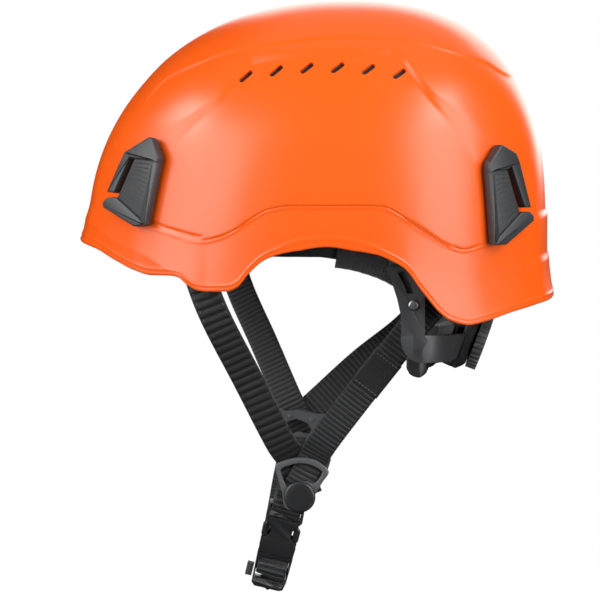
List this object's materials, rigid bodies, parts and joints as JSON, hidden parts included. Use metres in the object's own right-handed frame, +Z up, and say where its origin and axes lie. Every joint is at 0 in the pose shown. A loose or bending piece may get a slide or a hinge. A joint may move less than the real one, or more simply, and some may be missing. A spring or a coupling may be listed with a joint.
{
  "type": "climbing and industrial helmet",
  "caption": "Hard-shell work-at-height helmet with lamp clips, nape ratchet cradle, Y-shaped webbing chin harness and side-release buckle.",
  "frame": {"origin": "centre of the head opening, level with the lower edge of the headband and 10 mm below the top of the ear arches", "axes": "+Z up through the crown, -Y forwards to the visor, +X to the side of the wearer's left ear"},
  "size_m": [0.216, 0.285, 0.3496],
  "materials": {
    "orange_shell": "satin-gloss moulded shell",
    "liner_foam": "moulded closed-cell foam",
    "textile": "brushed knitted cover over soft foam",
    "webbing": "ribbed woven webbing",
    "label_cloth": "flat woven cloth, blank",
    "steel": "plain rivet and spring steel",
    "grey_plastic": "satin moulded nylon",
    "black_plastic": "satin moulded nylon",
    "dark_plastic": "fine-grained moulded nylon"
  },
  "bodies": {
    "shell": {"lamp_clip_front_left": "dark_plastic", "lamp_clip_rear_left": "dark_plastic", "lamp_clip_front_right": "dark_plastic", "lamp_clip_rear_right": "dark_plastic", "chin_loop": "webbing", "buckle_socket": "dark_plastic", "shell": "orange_shell", "impact_liner": "liner_foam", "comfort_pad_crown": "textile", "comfort_pad_side_left": "textile", "comfort_pad_side_right": "textile", "comfort_pad_front": "textile", "comfort_pad_rear": "textile", "headband": "black_plastic", "brow_pad": "textile", "strap_bar_left": "black_plastic", "strap_bar_right": "black_plastic", "cradle_hanger_left": "grey_plastic", "cradle_hanger_right": "grey_plastic", "cradle_rivet_left": "steel", "cradle_rivet_right": "steel", "strap_front_left": "webbing", "strap_rear_left": "webbing", "strap_front_right": "webbing", "strap_rear_right": "webbing", "strap_anchor_left": "black_plastic", "strap_anchor_right": "black_plastic", "label_sleeve": "label_cloth", "junction_frame_left": "dark_plastic", "junction_back_left": "grey_plastic", "junction_button_left": "dark_plastic", "junction_frame_right": "dark_plastic", "junction_back_right": "grey_plastic", "junction_button_right": "dark_plastic"},
    "cradle": {"cradle_arm_left": "dark_plastic", "cradle_arm_right": "dark_plastic", "cradle_wing_left": "black_plastic", "cradle_wing_right": "black_plastic", "ratchet_base": "black_plastic", "ratchet_cover": "grey_plastic", "detent_spring": "steel", "nape_pad": "textile"},
    "dial": {"ratchet_dial": "dark_plastic", "ratchet_pinion": "grey_plastic"},
    "rack_left": {"rack_left": "black_plastic"},
    "rack_right": {"rack_right": "black_plastic"},
    "buckle_plug": {"buckle_plug": "dark_plastic", "chin_strap": "webbing", "tail_stop": "dark_plastic"},
    "prong_rear": {"buckle_prong_rear": "dark_plastic"},
    "prong_front": {"buckle_prong_front": "dark_plastic"}
  },
  "joints": [
    {"name": "cradle_tilt", "type": "hinge", "parent": "shell", "child": "cradle", "pos_m": [0.083, 0.0622, -0.0235], "axis": [1, 0, 0], "range_deg": [-6, 8]},
    {"name": "dial_turn", "type": "hinge", "parent": "cradle", "child": "dial", "pos_m": [0, 0.0915, -0.0513], "axis": [0, 0.9397, -0.342], "range_deg": [-90, 90]},
    {"name": "rack_left_draw", "type": "hinge", "parent": "cradle", "child": "rack_left", "pos_m": [0, 0.0095, -0.0513], "axis": [0, 0, 1], "range_deg": [-5.2, 5.2]},
    {"name": "rack_right_draw", "type": "hinge", "parent": "cradle", "child": "rack_right", "pos_m": [0, 0.0095, -0.0513], "axis": [0, 0, 1], "range_deg": [-5, 5]},
    {"name": "buckle_slide", "type": "slide", "parent": "shell", "child": "buckle_plug", "axis": [-0.2069, -0.2385, -0.9488], "range_m": [0, 0.022]},
    {"name": "prong_rear_squeeze", "type": "hinge", "parent": "buckle_plug", "child": "prong_rear", "pos_m": [0.03506, -0.01245, -0.17912], "axis": [0.977, 0, -0.213], "range_deg": [0, 8], "stiffness_Nm_per_rad": 0.4},
    {"name": "prong_front_squeeze", "type": "hinge", "parent": "buckle_plug", "child": "prong_front", "pos_m": [0.0359, -0.02857, -0.17525], "axis": [-0.977, 0, 0.213], "range_deg": [0, 8], "stiffness_Nm_per_rad": 0.4}
  ],
  "couplings": [
    {"joint": "rack_left_draw", "follows": "dial_turn", "ratio": 0.055928},
    {"joint": "rack_right_draw", "follows": "dial_turn", "ratio": -0.053866}
  ]
}
